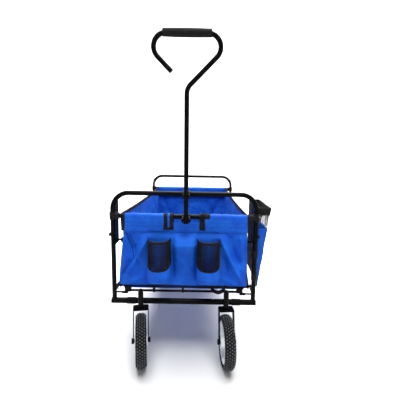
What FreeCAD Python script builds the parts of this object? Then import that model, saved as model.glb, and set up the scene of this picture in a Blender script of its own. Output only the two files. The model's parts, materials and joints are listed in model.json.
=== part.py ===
import FreeCAD, Part
import math
import os

from FreeCAD import Vector

# Folding beach cart. Millimetres, +Z up, floor at z = 0.
# The front (the end with the handle) faces -Y; "left" is -X and "right" is +X.
# Shapes are drawn with the front hoop in the plane y = 0 and are moved when they are
# saved, so that the stored origin lies on the floor under the middle of the cart.

# ---- driving dimensions: frame -------------------------------------------------
CART_LENGTH = 900.0          # front hoop to rear hoop
HOOP_HALF_WIDTH = 242.0      # middle of the cart to the centre of a leg
HOOP_TOP_Z = 586.0
HOOP_BEND = 55.0
TUBE_R = 8.0
BASE_Z = 206.0
BASE_R = 10.0
BASE_HALF_LENGTH = 252.0
BASE_SLEEVE_R = 11.5
BASE_SLEEVE_X = (168.0, 198.0)
RAIL_Z = 508.0
TIE_BAR_Z = 247.0
TIE_BAR_R = 4.0
TIE_BAR_HALF_LENGTH = 200.0
TIE_BRACKET_X = (182.0, 204.0)
TIE_BRACKET_Z = (243.0, 261.0)
TIE_FOOT_X = (193.0, 213.0)
TIE_FOOT_Z = (236.0, 243.0)
TIE_LINK_Z = 240.0
TIE_LINK_R = 3.0
AXLE_Z = 88.0
AXLE_TUBE_R = 11.0
AXLE_TUBE_HALF_LENGTH = 254.0
AXLE_R = 6.0
AXLE_HALF_LENGTH = 306.0
REAR_NUT_R = 11.0
REAR_NUT = 8.0
REAR_NUT_GAP = 0.5
BRACKET_WALL = 3.0           # wall of the moulded collars and saddles round a tube
RAIL_CLAMP_HALF_HEIGHT = 13.0
RAIL_CLAMP_REACH = 21.0      # from the leg's centre towards the middle
CLEAR = 0.06                 # radial running clearance of a pin in a hole
OVERCUT = 1.0                # how far a cutting tool passes the face it cuts

# ---- driving dimensions: scissor -----------------------------------------------
PIVOT_SETBACK = 34.0         # hoop plane to the nearest scissor pivots
LOWER_PIVOT_Z = 250.0
UPPER_PIVOT_Z = 416.0
CELLS = 3
OPEN_LOWER_CELL = 1          # its rising bars turn about a pin they only surround loosely
OPEN_UPPER_CELL = 2          # its falling bars do the same at their upper end
FOLD_DEG = 43.0
BAR_WIDTH = 18.0
BAR_THICKNESS = 5.0
OUTER_BAR_X = 226.0          # inner face of the outer bars
INNER_BAR_X = 218.0          # inner face of the inner bars
PIN_R = 4.0
PIN_HEAD_R = 7.0
PIN_HEAD = 2.0
CROSS_TUBE_R = 6.0
PLATE_X = 235.0              # inner face of the lug and slot plates
PLATE_THICKNESS = 3.0
PLATE_DEPTH = 46.0
SLOT_GAP = 0.5
SLOT_MARGIN = 5.0
LEG_BOLT_Z = 443.0
LEG_BOLT_HEAD = 3.0
PIN_ROOT = 1.0               # how deep a pin is sunk in the bar that carries it
PIN_PLAY = 0.6               # gap between a bar and the head of the pin through it

# ---- driving dimensions: handle ------------------------------------------------
HANDLE_X = 6.0               # the handle stands a little right of the middle
HANDLE_Y = -28.0
HANDLE_Z = 503.0
HANDLE_LEAN_DEG = 4.0
HANDLE_R = 7.5
HANDLE_LENGTH = 561.0
HANDLE_TAIL = 12.0
LOOP_CORNER_X = 152.0        # where the slanting side and the grip bar would meet
LOOP_BEND = 38.0
LOOP_OPEN_X = 46.0
GRIP_LENGTH = 143.0
GRIP_R = 12.5
GRIP_END_R = 11.0
CHEEK_GAP = 9.0
CHEEK_THICKNESS = 3.0
CHEEK_R = 11.0
BOLT_HEAD = 3.0
PLUG_R = 6.0
PLUG_LENGTH = 12.0
PLUG_SINK = 1.0
GRIP_TAPER = 12.0
CLIP_GAP = 8.0
CLIP_WALL = 3.0
CLIP_REACH = 12.0            # how far the clip's arms pass the pole's middle
CLIP_WEB_Y = -17.0
CLIP_Z = (574.0, 588.0)

# ---- driving dimensions: wheels ------------------------------------------------
WHEEL_R = 88.0
WHEEL_WIDTH = 36.0
RIM_R = 68.0
HUB_R = 17.0
HUB_WIDTH = 42.0
WHEEL_BORE_R = 6.0
TYRE_BEAD_INSET = 3.0
TYRE_BEAD_HEIGHT = 6.0
TYRE_SHOULDER = 7.0
TYRE_CROWN_DROP = 1.0        # how much lower the tread is beside its middle
TYRE_CROWN_INSET = (6.0, 12.0)
RIM_DEPTH = 7.0
WEB_DEPTH = 12.0
WEB_HALF_THICKNESS = 4.0
HUB_FLARE = 6.0
REAR_WHEEL_X = 280.0
CASTER_X = 147.0
CASTER_Y = -19.0
CASTER_TRAIL = 32.0
LEFT_CASTER_TURN_DEG = 11.0
RIGHT_CASTER_TURN_DEG = 5.0
SOCKET_R = 9.0
SOCKET_Z = (192.0, 246.0)
KINGPIN_R = 5.0
CROWN_Z = (187.0, 191.7)
FORK_GAP = 23.5
FORK_PLATE = 3.0
CROWN_Y = (-18.0, 18.0)
CROWN_CORNER_R = 8.0
FORK_LEG_TOP_Y = (-18.0, 10.0)
FORK_FOOT_R = 9.0
KINGPIN_HEAD = 4.0
KINGPIN_NUT_R = 8.0
KINGPIN_NUT = 6.0
KINGPIN_DOME_R = 6.5
KINGPIN_PLAY = 0.3
AXLE_NUT_R = 9.0
AXLE_NUT = 5.0

# ---- driving dimensions: fabric ------------------------------------------------
SHEET = 4.0
FABRIC_GAP = 0.5             # between neighbouring pieces of fabric
WALL_HALF_WIDTH = 217.0
WALL_BOTTOM_Z = 262.0
SLEEVE_R = 10.5
SLEEVE_INNER_R = 8.3
CUTOUT_X = (-48.0, 60.0)
CUTOUT_Z = 488.0
SIDE_WALL_X = 209.0
SIDE_WALL_TOP_Z = 517.0
FLOOR_Z = 256.6
FLOOR_FABRIC = 2.0
BOARD_THICKNESS = 5.0
BOARD_PANELS = 4
BOARD_GAP = 2.0
BOARD_MARGIN = 6.0
CUP_X = 83.0
CUP_R = 41.0
CUP_BACK_DEPTH = 20.0
CUP_Z = (288.0, 436.0)
CUP_WALL = 2.5
CUP_GAP = 0.3                # between a holder's flat back and the front wall
POCKET_X = 252.6
POCKET_TOP_DEPTH = 44.0
POCKET_BOTTOM_DEPTH = 6.0
POCKET_Y = (16.0, 236.0)
POCKET_Z = (258.0, 541.0)
POCKET_WALL = 2.5
POCKET_STRAP_Z = (290.0, 370.0)
POCKET_STRAP_WIDTH = 25.0
POCKET_STRAP_REACH = 46.0
STRAP_GAP = 0.3              # webbing to the tube or sleeve it lies on
LOOP_STRAP_WIDTH = 26.0
LOOP_STRAP_INSET = 2.0       # cut-out edge to the strap beside it
LOOP_STRAP_Z = (468.0, 520.0)
STRAP = 2.0

X_AXIS = Vector(1, 0, 0)
Y_AXIS = Vector(0, 1, 0)
Z_AXIS = Vector(0, 0, 1)

# From the front of the front wheels to the back of the rear ones, halved.
FOOTPRINT_MIDDLE_Y = (CART_LENGTH + WHEEL_R + CASTER_Y - CASTER_TRAIL - WHEEL_R) / 2

# Geometry of one scissor cell.
CELL = (CART_LENGTH - 2 * PIVOT_SETBACK) / CELLS
LOWER = [Vector(0, PIVOT_SETBACK + i * CELL, LOWER_PIVOT_Z) for i in range(CELLS + 1)]
UPPER = [Vector(0, PIVOT_SETBACK + i * CELL, UPPER_PIVOT_Z) for i in range(CELLS + 1)]
CROSSING = [(LOWER[i] + UPPER[i + 1]) * 0.5 for i in range(CELLS)]
BAR_LENGTH = math.hypot(CELL, UPPER_PIVOT_Z - LOWER_PIVOT_Z)
REST_ANGLE = math.atan2(UPPER_PIVOT_Z - LOWER_PIVOT_Z, CELL)
FOLDED_UPPER_Z = LOWER_PIVOT_Z + BAR_LENGTH * math.sin(REST_ANGLE + math.radians(FOLD_DEG))


# ---- shape helpers -------------------------------------------------------------
def rod(start, end, radius):
    along = end - start
    return Part.makeCylinder(radius, along.Length, start, along)


def block(x, y, z):
    size = (x[1] - x[0], y[1] - y[0], z[1] - z[0])
    return Part.makeBox(*size, Vector(x[0], y[0], z[0]))


def plate_outline(points):
    """Flat face with the given corners."""
    return Part.Face(Part.makePolygon(points + points[:1]))


def bent_path(points, radii):
    """Wire of straight runs joined by tangent arcs, one radius for each inner corner."""
    edges = []
    start = points[0]
    for before, corner, after, radius in zip(points, points[1:], points[2:], radii):
        into = (before - corner).normalize()
        out = (after - corner).normalize()
        half_turn = (math.pi - into.getAngle(out)) / 2
        trim = radius * math.tan(half_turn)
        arc_start = corner + into * trim
        arc_end = corner + out * trim
        bisector = (into + out).normalize()
        centre = corner + bisector * (radius / math.cos(half_turn))
        edges.append(Part.makeLine(start, arc_start))
        edges.append(Part.Arc(arc_start, centre - bisector * radius, arc_end).toShape())
        start = arc_end
    edges.append(Part.makeLine(start, points[-1]))
    return Part.Wire(edges)


def bent_rod(points, radii, radius):
    path = bent_path(points, radii)
    ring = Part.Wire(Part.makeCircle(radius, points[0], points[1] - points[0]))
    return path.makePipeShell([ring], True, True)


def revolve_x(outline):
    """Solid of revolution about the X axis; outline is a list of (x, radius)."""
    face = plate_outline([Vector(x, 0, r) for x, r in outline])
    return face.revolve(Vector(0, 0, 0), X_AXIS, 360)


def rounded(shape, radius, chosen):
    """Fillet the edges for which chosen(edge) is true."""
    return shape.makeFillet(radius, [edge for edge in shape.Edges if chosen(edge)])


def mirrored(shape):
    return shape.mirror(Vector(0, 0, 0), X_AXIS)


def both_sides(shape):
    return Part.makeCompound([mirrored(shape), shape])


def at_rear(shape):
    """Turn a front-end shape around so that it serves at the rear hoop."""
    return shape.mirror(Vector(0, CART_LENGTH / 2, 0), Y_AXIS)


def save(name, shape):
    """Write one node, moved so that the origin is the middle of the cart's footprint."""
    moved = shape.copy()
    moved.translate(Vector(0, -FOOTPRINT_MIDDLE_Y, 0))
    moved.exportStep(os.path.join("parts", name + ".step"))


def save_at_handle(name, shape):
    """Write a node of the handle's own group, drawn on x = 0, at the handle's place."""
    placed = shape.copy()
    placed.translate(X_AXIS * HANDLE_X)
    save(name, placed)


def save_pair(name, right_shape):
    save(name + "_left", mirrored(right_shape))
    save(name + "_right", right_shape)


# ---- frame ---------------------------------------------------------------------
def hoop(leg_bottom_z):
    corners = [
        Vector(-HOOP_HALF_WIDTH, 0, leg_bottom_z),
        Vector(-HOOP_HALF_WIDTH, 0, HOOP_TOP_Z),
        Vector(HOOP_HALF_WIDTH, 0, HOOP_TOP_Z),
        Vector(HOOP_HALF_WIDTH, 0, leg_bottom_z),
    ]
    return bent_rod(corners, [HOOP_BEND, HOOP_BEND], TUBE_R)


def cross_rod(half_length, y, z, radius):
    return rod(Vector(-half_length, y, z), Vector(half_length, y, z), radius)


def base_bar():
    """Thick bottom bar with a reinforcing sleeve near each caster."""
    bar = cross_rod(BASE_HALF_LENGTH, 0, BASE_Z, BASE_R)
    near, far = BASE_SLEEVE_X
    sleeve = rod(Vector(near, 0, BASE_Z), Vector(far, 0, BASE_Z), BASE_SLEEVE_R)
    return bar.fuse([sleeve, mirrored(sleeve)]).removeSplitter()


def tie_bar(legs):
    """Thin bar between the legs, with a folded bracket and a short link at each end."""
    y = CASTER_Y + SOCKET_R + TIE_BAR_R
    depth = (y - TIE_BAR_R, y + TIE_BAR_R - FABRIC_GAP)
    bar = cross_rod(TIE_BAR_HALF_LENGTH, y, TIE_BAR_Z, TIE_BAR_R)
    bracket = block(TIE_BRACKET_X, depth, TIE_BRACKET_Z)
    foot = block(TIE_FOOT_X, depth, TIE_FOOT_Z)
    link = rod(Vector(TIE_FOOT_X[0], y, TIE_LINK_Z), Vector(HOOP_HALF_WIDTH, y, TIE_LINK_Z), TIE_LINK_R)
    end = bracket.fuse([foot, link])
    return bar.fuse([end, mirrored(end)]).removeSplitter().cut(legs)


def lug_plate(pin_tip_x):
    """Plate behind a leg that carries the lower scissor pivot and its headed pin."""
    half = BAR_WIDTH / 2
    arm = block((PLATE_X, PLATE_X + PLATE_THICKNESS), (0, PIVOT_SETBACK),
                (LOWER_PIVOT_Z - half, LOWER_PIVOT_Z + half))
    pivot = Vector(PLATE_X + PLATE_THICKNESS, PIVOT_SETBACK, LOWER_PIVOT_Z)
    eye = rod(pivot, pivot - X_AXIS * PLATE_THICKNESS, half)
    pin = rod(pivot, Vector(pin_tip_x, PIVOT_SETBACK, LOWER_PIVOT_Z), PIN_R)
    tip = Vector(pin_tip_x, PIVOT_SETBACK, LOWER_PIVOT_Z)
    head = rod(tip, tip - X_AXIS * PIN_HEAD, PIN_HEAD_R)
    return arm.fuse([eye, pin, head]).removeSplitter()


def slot_plate():
    """Plate behind a leg with the upright slot in which an upper scissor end slides."""
    slot_r = PIN_R + SLOT_GAP
    edge = slot_r + SLOT_MARGIN
    plate = block((PLATE_X, PLATE_X + PLATE_THICKNESS), (0, PLATE_DEPTH),
                  (UPPER_PIVOT_Z - edge, FOLDED_UPPER_Z + edge))
    slot = block((PLATE_X - OVERCUT, PLATE_X + PLATE_THICKNESS + OVERCUT),
                 (PIVOT_SETBACK - slot_r, PIVOT_SETBACK + slot_r),
                 (UPPER_PIVOT_Z, FOLDED_UPPER_Z))
    through = X_AXIS * (PLATE_THICKNESS + 2 * OVERCUT)
    ends = [Vector(PLATE_X - OVERCUT, PIVOT_SETBACK, z) for z in (UPPER_PIVOT_Z, FOLDED_UPPER_Z)]
    return plate.cut(slot.fuse([rod(end, end + through, slot_r) for end in ends]))


def leg_bolts():
    """Domed bolt heads on the outer side of the legs, level with the slot plates."""
    start = Vector(HOOP_HALF_WIDTH + TUBE_R - PIN_ROOT, 0, LEG_BOLT_Z)
    shank_end = start + X_AXIS * LEG_BOLT_HEAD
    shank = rod(start, shank_end, PIN_R)
    head = rod(shank_end, shank_end + X_AXIS * LEG_BOLT_HEAD, PIN_HEAD_R)
    return shank.fuse(head)


def rail_clamp(leg):
    """Moulded collar that holds the end of a rail against a leg."""
    centre = Vector(HOOP_HALF_WIDTH, 0, RAIL_Z)
    half_height = Z_AXIS * RAIL_CLAMP_HALF_HEIGHT
    collar = rod(centre - half_height, centre + half_height, TUBE_R + BRACKET_WALL)
    socket = rod(centre, centre - X_AXIS * RAIL_CLAMP_REACH, TUBE_R + BRACKET_WALL)
    rail = cross_rod(HOOP_HALF_WIDTH, 0, RAIL_Z, TUBE_R)
    return collar.fuse(socket).cut(leg.fuse(rail))


# ---- handle --------------------------------------------------------------------
def handle_point(x, along):
    """Point of the handle's plane: x across, along measured up the pole from its pivot."""
    lean = math.radians(HANDLE_LEAN_DEG)
    return Vector(x, HANDLE_Y - along * math.sin(lean), HANDLE_Z + along * math.cos(lean))


def handle_pole():
    """Pole that bends into a slanting loop, with the loop's last end left open."""
    points = [
        handle_point(0, -HANDLE_TAIL),
        handle_point(0, HANDLE_LENGTH - LOOP_CORNER_X),
        handle_point(LOOP_CORNER_X, HANDLE_LENGTH),
        handle_point(-LOOP_CORNER_X, HANDLE_LENGTH),
        handle_point(-LOOP_OPEN_X, HANDLE_LENGTH - LOOP_CORNER_X + LOOP_OPEN_X),
    ]
    tube = bent_rod(points, [LOOP_BEND, LOOP_BEND, LOOP_BEND], HANDLE_R)
    pivot = Vector(0, HANDLE_Y, HANDLE_Z)
    half_hole = X_AXIS * (HANDLE_R + OVERCUT)
    hole = rod(pivot - half_hole, pivot + half_hole, PIN_R + CLEAR)
    return tube.cut([hole, open_end_bore()])


def open_end():
    """End point of the loop and the outward direction of the tube there."""
    inside = handle_point(-LOOP_CORNER_X, HANDLE_LENGTH)
    end = handle_point(-LOOP_OPEN_X, HANDLE_LENGTH - LOOP_CORNER_X + LOOP_OPEN_X)
    return end, (end - inside).normalize()


def open_end_bore():
    end, outward = open_end()
    return rod(end - outward * PLUG_LENGTH, end + outward * OVERCUT, PLUG_R)


def handle_end_plug():
    end, outward = open_end()
    return rod(end - outward * PLUG_LENGTH, end - outward * PLUG_SINK, PLUG_R)


def handle_grip(pole):
    """Barrel-shaped foam sleeve around the loop's top bar."""
    half = GRIP_LENGTH / 2
    full = half - GRIP_TAPER
    barrel = revolve_x([(-half, 0), (-half, GRIP_END_R), (-full, GRIP_R),
                        (full, GRIP_R), (half, GRIP_END_R), (half, 0)])
    barrel.translate(handle_point(0, HANDLE_LENGTH))
    return barrel.cut(pole)


def handle_bracket():
    """Saddle on the front rail with two cheeks that carry the handle's pivot bolt."""
    outer = CHEEK_GAP + CHEEK_THICKNESS
    saddle = cross_rod(outer, 0, RAIL_Z, TUBE_R + BRACKET_WALL)
    cheek = block((CHEEK_GAP, outer), (HANDLE_Y, 0), (HANDLE_Z - CHEEK_R, HANDLE_Z + CHEEK_R))
    nose = rod(Vector(CHEEK_GAP, HANDLE_Y, HANDLE_Z), Vector(outer, HANDLE_Y, HANDLE_Z), CHEEK_R)
    body = saddle.fuse([cheek, nose, mirrored(cheek), mirrored(nose)]).removeSplitter()
    hole = cross_rod(outer + OVERCUT, HANDLE_Y, HANDLE_Z, PIN_R)
    rail = cross_rod(outer + OVERCUT, 0, RAIL_Z, TUBE_R)
    return body.cut([hole, rail])


def handle_bolt():
    outer = CHEEK_GAP + CHEEK_THICKNESS
    shank = cross_rod(outer, HANDLE_Y, HANDLE_Z, PIN_R)
    head_start = Vector(outer, HANDLE_Y, HANDLE_Z)
    head = rod(head_start, head_start + X_AXIS * BOLT_HEAD, PIN_HEAD_R)
    return shank.fuse([head, mirrored(head)]).removeSplitter()


def handle_clip():
    """Saddle under the hoop's top bar with an open cradle that steadies the pole."""
    outer = CLIP_GAP + CLIP_WALL
    arm = block((CLIP_GAP, outer), (HANDLE_Y - CLIP_REACH, 0), CLIP_Z)
    saddle = cross_rod(outer, 0, HOOP_TOP_Z, TUBE_R + BRACKET_WALL)
    web = block((-outer, outer), (CLIP_WEB_Y, 0), CLIP_Z)
    bar = cross_rod(outer + OVERCUT, 0, HOOP_TOP_Z, TUBE_R)
    return saddle.fuse([web, arm, mirrored(arm)]).removeSplitter().cut(bar)


# ---- wheels and casters --------------------------------------------------------
def tyre():
    """Solid tyre with rounded shoulders, centred on the origin and turning about X."""
    half = WHEEL_WIDTH / 2
    wide, narrow = TYRE_CROWN_INSET
    right = [(half - narrow, WHEEL_R), (half - wide, WHEEL_R - TYRE_CROWN_DROP),
             (half, WHEEL_R - TYRE_SHOULDER), (half, RIM_R + TYRE_BEAD_HEIGHT),
             (half - TYRE_BEAD_INSET, RIM_R)]
    left = [(-x, r) for x, r in reversed(right)]
    return revolve_x(left + right)


def rim(bore_r):
    """Dished wheel centre with a hub, a web and a rim."""
    half = WHEEL_WIDTH / 2 - TYRE_BEAD_INSET
    hub = HUB_WIDTH / 2
    web = WEB_HALF_THICKNESS
    right = [(hub, bore_r), (hub, HUB_R), (web, HUB_R + HUB_FLARE), (web, RIM_R - WEB_DEPTH),
             (half, RIM_R - RIM_DEPTH), (half, RIM_R)]
    left = [(-x, r) for x, r in reversed(right)]
    return revolve_x(left + right)


def fork():
    """Crown plate with two thin legs; stem axis at the origin, trail towards -Y."""
    outer = FORK_GAP + FORK_PLATE
    crown = block((-outer, outer), CROWN_Y, CROWN_Z)
    crown = rounded(crown, CROWN_CORNER_R, lambda e: abs(e.tangentAt(e.FirstParameter).z) > 0.9)
    side = plate_outline([
        Vector(FORK_GAP, FORK_LEG_TOP_Y[0], CROWN_Z[1]),
        Vector(FORK_GAP, FORK_LEG_TOP_Y[1], CROWN_Z[1]),
        Vector(FORK_GAP, -CASTER_TRAIL + FORK_FOOT_R, AXLE_Z),
        Vector(FORK_GAP, -CASTER_TRAIL - FORK_FOOT_R, AXLE_Z),
    ]).extrude(X_AXIS * FORK_PLATE)
    axle_point = Vector(FORK_GAP, -CASTER_TRAIL, AXLE_Z)
    foot = rod(axle_point, axle_point + X_AXIS * FORK_PLATE, FORK_FOOT_R)
    leg = side.fuse(foot)
    body = crown.fuse([leg, mirrored(leg)]).removeSplitter()
    axle_hole = cross_rod(outer + OVERCUT, -CASTER_TRAIL, AXLE_Z, WHEEL_BORE_R)
    stem_hole = rod(Vector(0, 0, CROWN_Z[0] - OVERCUT), Vector(0, 0, CROWN_Z[1] + OVERCUT), KINGPIN_R)
    return body.cut([axle_hole, stem_hole])


def kingpin():
    """Stem bolt: flat head under the crown, domed nut above the socket."""
    bottom = CROWN_Z[0] - KINGPIN_HEAD
    nut_bottom = SOCKET_Z[1] + KINGPIN_PLAY
    nut_top = Vector(0, 0, nut_bottom + KINGPIN_NUT)
    shank = rod(Vector(0, 0, bottom), nut_top, KINGPIN_R)
    head = rod(Vector(0, 0, bottom), Vector(0, 0, CROWN_Z[0]), KINGPIN_NUT_R)
    nut = rod(Vector(0, 0, nut_bottom), nut_top, KINGPIN_NUT_R)
    dome = Part.makeSphere(KINGPIN_DOME_R, nut_top)
    return shank.fuse([head, nut, dome]).removeSplitter()


def caster_axle():
    """Wheel bolt with a nut outside each fork leg."""
    outer = FORK_GAP + FORK_PLATE
    shank = cross_rod(outer, -CASTER_TRAIL, AXLE_Z, WHEEL_BORE_R)
    nut_start = Vector(outer, -CASTER_TRAIL, AXLE_Z)
    nut = rod(nut_start, nut_start + X_AXIS * AXLE_NUT, AXLE_NUT_R)
    return shank.fuse([nut, mirrored(nut)]).removeSplitter()


def place_caster(shape, side, turn_deg):
    placed = shape.copy()
    placed.rotate(Vector(0, 0, 0), Z_AXIS, turn_deg)
    placed.translate(Vector(side * CASTER_X, CASTER_Y, 0))
    return placed


def caster_socket():
    start = Vector(CASTER_X, CASTER_Y, SOCKET_Z[0])
    end = Vector(CASTER_X, CASTER_Y, SOCKET_Z[1])
    tube = rod(start, end, SOCKET_R)
    bore = rod(start - Z_AXIS, end + Z_AXIS, KINGPIN_R + CLEAR)
    return tube.cut(bore)


# ---- scissor -------------------------------------------------------------------
def bar_faces(layer):
    inner = OUTER_BAR_X if layer == "outer" else INNER_BAR_X
    return inner, inner + BAR_THICKNESS


def scissor_bar(start, end, layer, holes):
    """Flat bar with rounded ends, drilled at its holes, on the right side."""
    inner, outer = bar_faces(layer)
    across = (end - start).cross(X_AXIS).normalize() * (BAR_WIDTH / 2)
    shift = X_AXIS * inner
    face = plate_outline([start + across + shift, end + across + shift,
                          end - across + shift, start - across + shift])
    bar = face.extrude(X_AXIS * BAR_THICKNESS)
    eyes = [rod(p + shift, p + X_AXIS * outer, BAR_WIDTH / 2) for p in (start, end)]
    bar = bar.fuse(eyes).removeSplitter()
    for centre, clearance in holes:
        through = (centre + X_AXIS * (inner - OVERCUT), centre + X_AXIS * (outer + OVERCUT))
        bar = bar.cut(rod(*through, PIN_R + clearance))
    return bar


def pin_with_head(centre, root_x, tip_x):
    """Pin from one bar through its neighbour, with a flat head at the tip."""
    root = centre + X_AXIS * root_x
    tip = centre + X_AXIS * tip_x
    outward = (tip - root).normalize()
    return rod(root, tip, PIN_R).fuse(rod(tip, tip + outward * PIN_HEAD, PIN_HEAD_R))


def scissor():
    """Six pairs of bars: A bars rise to the rear in the outer layer, B bars fall in the inner."""
    open_fit = SLOT_GAP
    outer_root = OUTER_BAR_X + PIN_ROOT
    inner_root = INNER_BAR_X + PIN_ROOT
    inward_tip = INNER_BAR_X - PIN_PLAY
    outward_tip = OUTER_BAR_X + BAR_THICKNESS + PIN_PLAY
    slot_tip = PLATE_X + PLATE_THICKNESS + PIN_PLAY
    for cell in range(CELLS):
        rising = scissor_bar(LOWER[cell], UPPER[cell + 1], "outer",
                             [(LOWER[cell], open_fit if cell == OPEN_LOWER_CELL else CLEAR)])
        rising = rising.fuse(pin_with_head(CROSSING[cell], outer_root, inward_tip))
        falling = scissor_bar(UPPER[cell], LOWER[cell + 1], "inner", [(CROSSING[cell], CLEAR)])
        if cell < CELLS - 1:
            rising = rising.fuse(pin_with_head(UPPER[cell + 1], outer_root, inward_tip))
            falling = falling.fuse(pin_with_head(LOWER[cell + 1], inner_root, outward_tip))
        else:
            rising = rising.fuse(pin_with_head(UPPER[cell + 1], outer_root, slot_tip))
            falling = falling.cut(rod(LOWER[cell + 1] + X_AXIS * (INNER_BAR_X - OVERCUT),
                                      LOWER[cell + 1] + X_AXIS * (OUTER_BAR_X - OVERCUT), PIN_R + CLEAR))
        if cell == 0:
            falling = falling.fuse(pin_with_head(UPPER[0], inner_root, slot_tip))
        else:
            fit = open_fit if cell == OPEN_UPPER_CELL else CLEAR
            falling = falling.cut(rod(UPPER[cell] + X_AXIS * (INNER_BAR_X - OVERCUT),
                                      UPPER[cell] + X_AXIS * (OUTER_BAR_X - OVERCUT), PIN_R + fit))
        save(f"rising_bars_{cell + 1}", both_sides(rising.removeSplitter()))
        save(f"falling_bars_{cell + 1}", both_sides(falling.removeSplitter()))
    for index in (1, 2):
        centre = LOWER[index]
        save(f"cross_tube_{index}", cross_rod(INNER_BAR_X, centre.y, centre.z, CROSS_TUBE_R))


# ---- fabric --------------------------------------------------------------------
def end_wall():
    """Hanging panel with a sleeve sewn around the rail and a cut-out for the bracket."""
    half = SHEET / 2
    panel = block((-WALL_HALF_WIDTH, WALL_HALF_WIDTH), (-half, half), (WALL_BOTTOM_Z, RAIL_Z))
    sleeve = cross_rod(WALL_HALF_WIDTH, 0, RAIL_Z, SLEEVE_R)
    hollow = cross_rod(WALL_HALF_WIDTH + OVERCUT, 0, RAIL_Z, SLEEVE_INNER_R)
    return panel.fuse(sleeve).removeSplitter().cut(hollow)


def front_wall():
    window = block(CUTOUT_X, (-2 * SLEEVE_R, 2 * SLEEVE_R), (CUTOUT_Z, RAIL_Z + 2 * SLEEVE_R))
    return end_wall().cut(window)


def between_walls(gap):
    """Start and end in Y of a piece that stops short of both end walls' planes."""
    return gap, CART_LENGTH - gap


def side_wall():
    return block((SIDE_WALL_X, SIDE_WALL_X + SHEET), between_walls(SLEEVE_R + FABRIC_GAP),
                 (FLOOR_Z, SIDE_WALL_TOP_Z))


def floor_fabric():
    half = SIDE_WALL_X - FABRIC_GAP
    return block((-half, half), between_walls(SHEET / 2 + FABRIC_GAP), (FLOOR_Z, FLOOR_Z + FLOOR_FABRIC))


def floor_board():
    """Stiff base board in panels that meet at the fold lines."""
    start, end = between_walls(BOARD_MARGIN + SHEET / 2)
    pitch = (end - start) / BOARD_PANELS
    half = SIDE_WALL_X - BOARD_MARGIN
    z = FLOOR_Z + FLOOR_FABRIC
    panels = [
        block((-half, half), (start + i * pitch, start + (i + 1) * pitch - BOARD_GAP),
              (z, z + BOARD_THICKNESS))
        for i in range(BOARD_PANELS)
    ]
    return Part.makeCompound(panels)


def cup_profile(radius, back_y, z):
    """Upright D-shaped solid: flat back, straight sides, round front."""
    side_y = -SHEET / 2 - CUP_BACK_DEPTH
    left, right = CUP_X - radius, CUP_X + radius
    corners = [Vector(left, side_y, z[0]), Vector(left, back_y, z[0]),
               Vector(right, back_y, z[0]), Vector(right, side_y, z[0])]
    edges = [Part.makeLine(start, end) for start, end in zip(corners, corners[1:])]
    edges.append(Part.Arc(corners[-1], Vector(CUP_X, side_y - radius, z[0]), corners[0]).toShape())
    return Part.Face(Part.Wire(edges)).extrude(Z_AXIS * (z[1] - z[0]))


def cup_holder():
    back = -SHEET / 2 - CUP_GAP
    outer = cup_profile(CUP_R, back, CUP_Z)
    inner = cup_profile(CUP_R - CUP_WALL, back - CUP_WALL, (CUP_Z[0] + CUP_WALL, CUP_Z[1] + OVERCUT))
    return outer.cut(inner)


def webbing_loops():
    """Two loops of webbing on the front hem, one each side of the cut-out."""
    half = LOOP_STRAP_WIDTH / 2
    front = -SLEEVE_R - STRAP_GAP
    left, right = CUTOUT_X
    centres = (left - half - LOOP_STRAP_INSET, right + half + LOOP_STRAP_INSET)
    loops = [block((centre - half, centre + half), (front - STRAP, front), LOOP_STRAP_Z)
             for centre in centres]
    return Part.makeCompound(loops)


def pocket_wedge(x0, top_depth, bottom_depth, y, z):
    face = plate_outline([
        Vector(x0, y[0], z[0]),
        Vector(x0 + bottom_depth, y[0], z[0]),
        Vector(x0 + top_depth, y[0], z[1]),
        Vector(x0, y[0], z[1]),
    ])
    return face.extrude(Y_AXIS * (y[1] - y[0]))


def side_pocket():
    """Wedge-shaped pocket, open at the top, outside the right front leg."""
    wall = POCKET_WALL
    outer = pocket_wedge(POCKET_X, POCKET_TOP_DEPTH, POCKET_BOTTOM_DEPTH, POCKET_Y, POCKET_Z)
    inner = pocket_wedge(POCKET_X + wall, POCKET_TOP_DEPTH - 2 * wall, POCKET_BOTTOM_DEPTH - 2 * wall,
                         (POCKET_Y[0] + wall, POCKET_Y[1] - wall),
                         (POCKET_Z[0] + wall, POCKET_Z[1] + OVERCUT))
    return outer.cut(inner)


def pocket_straps():
    """Two webbing loops around the right front leg, sewn to the pocket's inner face."""
    inner_r = TUBE_R + STRAP_GAP
    outer_r = inner_r + STRAP
    straps = []
    for z in POCKET_STRAP_Z:
        start = Vector(HOOP_HALF_WIDTH, 0, z)
        end = start + Z_AXIS * POCKET_STRAP_WIDTH
        tail = block((HOOP_HALF_WIDTH + inner_r, HOOP_HALF_WIDTH + outer_r), (0, POCKET_STRAP_REACH),
                     (z, z + POCKET_STRAP_WIDTH))
        hollow = rod(start - Z_AXIS, end + Z_AXIS, inner_r)
        straps.append(rod(start, end, outer_r).fuse(tail).cut(hollow))
    return Part.makeCompound(straps)


# ---- assembly ------------------------------------------------------------------
def build_front_frame():
    base = base_bar()
    legs = hoop(BASE_Z)
    tie = tie_bar(legs)
    rail = cross_rod(HOOP_HALF_WIDTH, 0, RAIL_Z, TUBE_R).cut(legs)
    pin_tip = OUTER_BAR_X - PIN_PLAY
    save("front_hoop", legs.cut(base))
    save("front_base_bar", base)
    save("front_tie_bar", tie)
    save("front_rail", rail)
    save("front_slot_plates", both_sides(slot_plate().cut([legs, rail, rail_clamp(legs)])))
    save("front_pivot_lugs", both_sides(lug_plate(pin_tip).cut(legs)))
    save("front_leg_bolts", both_sides(leg_bolts().cut(legs)))
    save("front_rail_clamps", both_sides(rail_clamp(legs)))
    save("caster_sockets", both_sides(caster_socket().cut(base).cut(tie)))
    save_at_handle("handle_bracket", handle_bracket())
    save_at_handle("handle_pivot_bolt", handle_bolt())
    save_at_handle("handle_clip", handle_clip())


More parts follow.
